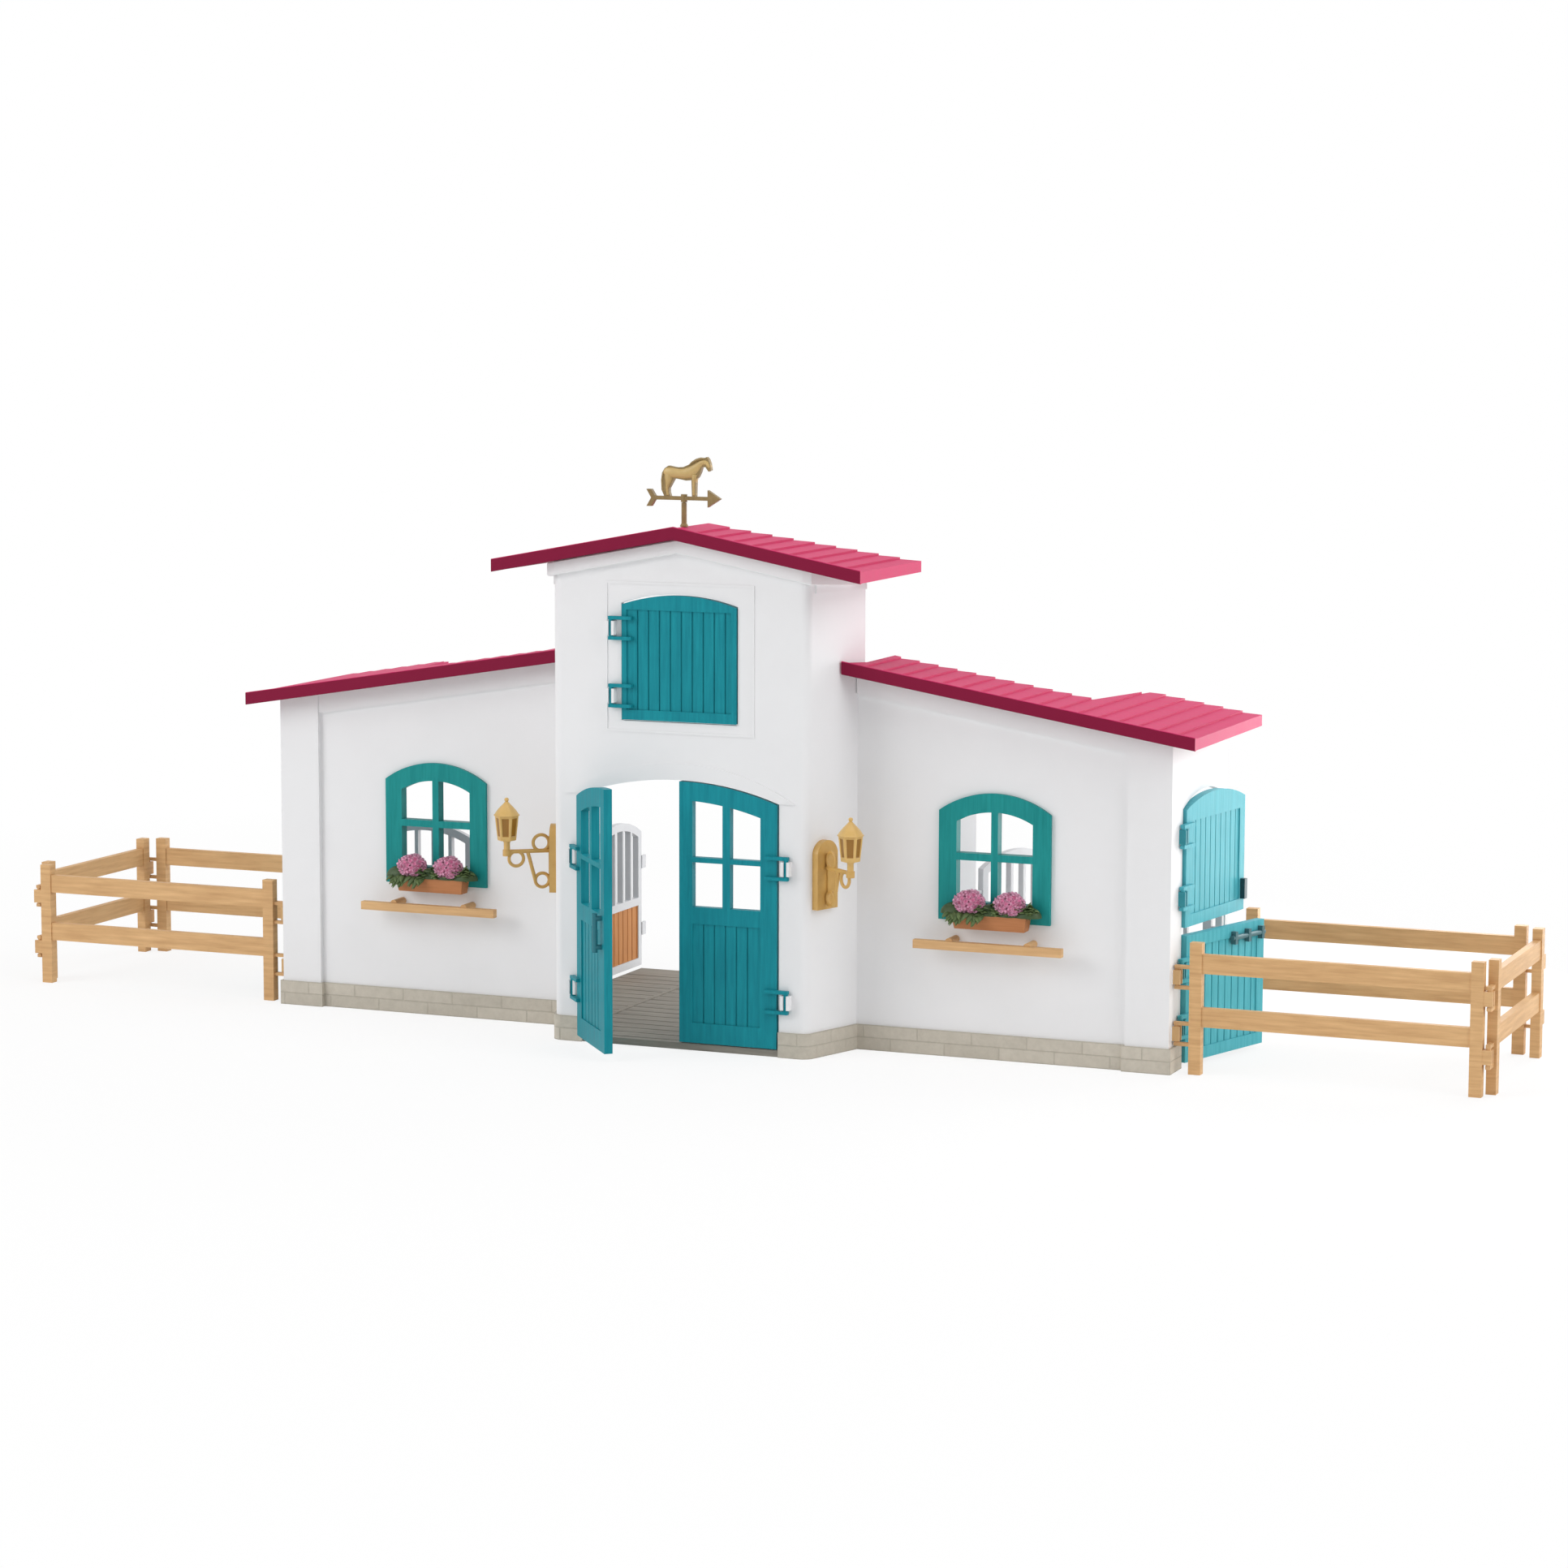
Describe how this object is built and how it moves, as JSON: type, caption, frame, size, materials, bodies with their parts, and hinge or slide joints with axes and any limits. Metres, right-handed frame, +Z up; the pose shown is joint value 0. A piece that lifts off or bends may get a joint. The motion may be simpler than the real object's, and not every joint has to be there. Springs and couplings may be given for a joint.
{
  "type": "toy horse stable",
  "caption": "Toy stable with a tower, hinged barn and stable doors, window boxes, lamps, a turning weather vane and folding paddock fences on both sides.",
  "frame": {"origin": "on the ground below the middle of the tower, level with the corner pilasters' front", "axes": "+X along the front to the viewer's right, +Y from the front to the open back, +Z up"},
  "size_m": [0.9506, 0.2867, 0.3499],
  "materials": {
    "white_wall": "satin",
    "roof_raspberry": "satin",
    "teal_door": "satin",
    "plinth_stone": "matte",
    "floor_stone": "matte",
    "fence_wood": "matte",
    "gold_trim": "satin",
    "gate_grey": "satin",
    "gate_boards": "matte",
    "flower_box": "matte",
    "leaf_green": "matte",
    "blossom_pink": "matte",
    "latch_dark": "satin"
  },
  "bodies": {
    "stable": {"floor_plate": "floor_stone", "left_blossoms": "blossom_pink", "left_end_wall": "white_wall", "left_flower_box": "flower_box", "left_lamp_bracket": "gold_trim", "left_lantern": "gold_trim", "left_leaves": "leaf_green", "left_partition": "white_wall", "left_tie_rail": "fence_wood", "left_tower_plinth": "plinth_stone", "left_window": "teal_door", "left_wing_plinth": "plinth_stone", "left_wing_roof": "roof_raspberry", "left_wing_wall": "white_wall", "right_blossoms": "blossom_pink", "right_end_wall": "white_wall", "right_flower_box": "flower_box", "right_lamp_bracket": "gold_trim", "right_lantern": "gold_trim", "right_leaves": "leaf_green", "right_partition": "white_wall", "right_tie_rail": "fence_wood", "right_tower_plinth": "plinth_stone", "right_window": "teal_door", "right_wing_plinth": "plinth_stone", "right_wing_roof": "roof_raspberry", "right_wing_wall": "white_wall", "tower_roof": "roof_raspberry", "tower_wall": "white_wall", "vane_post": "gold_trim"},
    "weather_vane": {"weather_vane": "gold_trim"},
    "left_barn_door": {"left_barn_door": "teal_door", "left_barn_handle": "latch_dark"},
    "right_barn_door": {"right_barn_door": "teal_door"},
    "hay_hatch": {"hay_hatch": "teal_door"},
    "left_lower_stable_door": {"left_lower_stable_door": "teal_door", "left_lower_bolt": "latch_dark"},
    "left_upper_stable_door": {"left_upper_stable_door": "teal_door", "left_upper_catch": "latch_dark"},
    "left_front_fence": {"left_front_fence": "fence_wood"},
    "left_side_fence": {"left_side_fence": "fence_wood"},
    "left_back_fence": {"left_back_fence": "fence_wood"},
    "left_inner_gate": {"left_inner_gate": "gate_grey", "left_inner_gate_boards": "gate_boards"},
    "left_outer_gate": {"left_outer_gate": "gate_grey", "left_outer_gate_boards": "gate_boards"},
    "right_lower_stable_door": {"right_lower_stable_door": "teal_door", "right_lower_bolt": "latch_dark"},
    "right_upper_stable_door": {"right_upper_stable_door": "teal_door", "right_upper_catch": "latch_dark"},
    "right_front_fence": {"right_front_fence": "fence_wood"},
    "right_side_fence": {"right_side_fence": "fence_wood"},
    "right_back_fence": {"right_back_fence": "fence_wood"},
    "right_inner_gate": {"right_inner_gate": "gate_grey", "right_inner_gate_boards": "gate_boards"},
    "right_outer_gate": {"right_outer_gate": "gate_grey", "right_outer_gate_boards": "gate_boards"}
  },
  "joints": [
    {"name": "left_barn_door", "type": "hinge", "parent": "stable", "child": "left_barn_door", "pos_m": [-0.06875, -0.0422, 0], "axis": [0, 0, 1], "range_deg": [-65, 50]},
    {"name": "right_barn_door", "type": "hinge", "parent": "stable", "child": "right_barn_door", "pos_m": [0.06875, -0.0422, 0], "axis": [0, 0, 1], "range_deg": [0, 115]},
    {"name": "hay_hatch", "type": "hinge", "parent": "stable", "child": "hay_hatch", "pos_m": [-0.0429, -0.0422, 0], "axis": [0, 0, 1], "range_deg": [-115, 0]},
    {"name": "right_lower_stable_door", "type": "hinge", "parent": "stable", "child": "right_lower_stable_door", "pos_m": [0.2912, 0.0161, 0], "axis": [0, 0, 1], "range_deg": [-73, 17]},
    {"name": "right_upper_stable_door", "type": "hinge", "parent": "stable", "child": "right_upper_stable_door", "pos_m": [0.2912, 0.0161, 0], "axis": [0, 0, 1], "range_deg": [-82, 8]},
    {"name": "left_lower_stable_door", "type": "hinge", "parent": "stable", "child": "left_lower_stable_door", "pos_m": [-0.2912, 0.0161, 0], "axis": [0, 0, 1], "range_deg": [0, 90]},
    {"name": "left_upper_stable_door", "type": "hinge", "parent": "stable", "child": "left_upper_stable_door", "pos_m": [-0.2912, 0.0161, 0], "axis": [0, 0, 1], "range_deg": [0, 90]},
    {"name": "right_front_fence", "type": "hinge", "parent": "stable", "child": "right_front_fence", "pos_m": [0.2912, 0.008, 0], "axis": [0, 0, 1], "range_deg": [-50, 0]},
    {"name": "right_side_fence", "type": "hinge", "parent": "right_front_fence", "child": "right_side_fence", "pos_m": [0.4724, 0.008, 0], "axis": [0, 0, 1], "range_deg": [-90, 0]},
    {"name": "right_back_fence", "type": "hinge", "parent": "right_side_fence", "child": "right_back_fence", "pos_m": [0.4724, 0.1422, 0], "axis": [0, 0, 1], "range_deg": [-90, 0]},
    {"name": "left_front_fence", "type": "hinge", "parent": "stable", "child": "left_front_fence", "pos_m": [-0.2912, 0.008, 0], "axis": [0, 0, 1], "range_deg": [0, 50]},
    {"name": "left_side_fence", "type": "hinge", "parent": "left_front_fence", "child": "left_side_fence", "pos_m": [-0.4724, 0.008, 0], "axis": [0, 0, 1], "range_deg": [0, 90]},
    {"name": "left_back_fence", "type": "hinge", "parent": "left_side_fence", "child": "left_back_fence", "pos_m": [-0.4724, 0.1422, 0], "axis": [0, 0, 1], "range_deg": [0, 90]},
    {"name": "right_inner_gate", "type": "hinge", "parent": "stable", "child": "right_inner_gate", "pos_m": [0.12951, 0.1127, 0], "axis": [0, 0, 1], "range_deg": [-70, 50]},
    {"name": "left_inner_gate", "type": "hinge", "parent": "stable", "child": "left_inner_gate", "pos_m": [-0.12951, 0.1127, 0], "axis": [0, 0, 1], "range_deg": [-30, 90]},
    {"name": "right_outer_gate", "type": "hinge", "parent": "stable", "child": "right_outer_gate", "pos_m": [0.287, 0.1127, 0], "axis": [0, 0, 1], "range_deg": [-85, 0]},
    {"name": "left_outer_gate", "type": "hinge", "parent": "stable", "child": "left_outer_gate", "pos_m": [-0.287, 0.1127, 0], "axis": [0, 0, 1], "range_deg": [0, 85]},
    {"name": "weather_vane", "type": "hinge", "parent": "stable", "child": "weather_vane", "pos_m": [0, -0.033, 0.323], "axis": [0, 0, 1], "continuous": true}
  ]
}
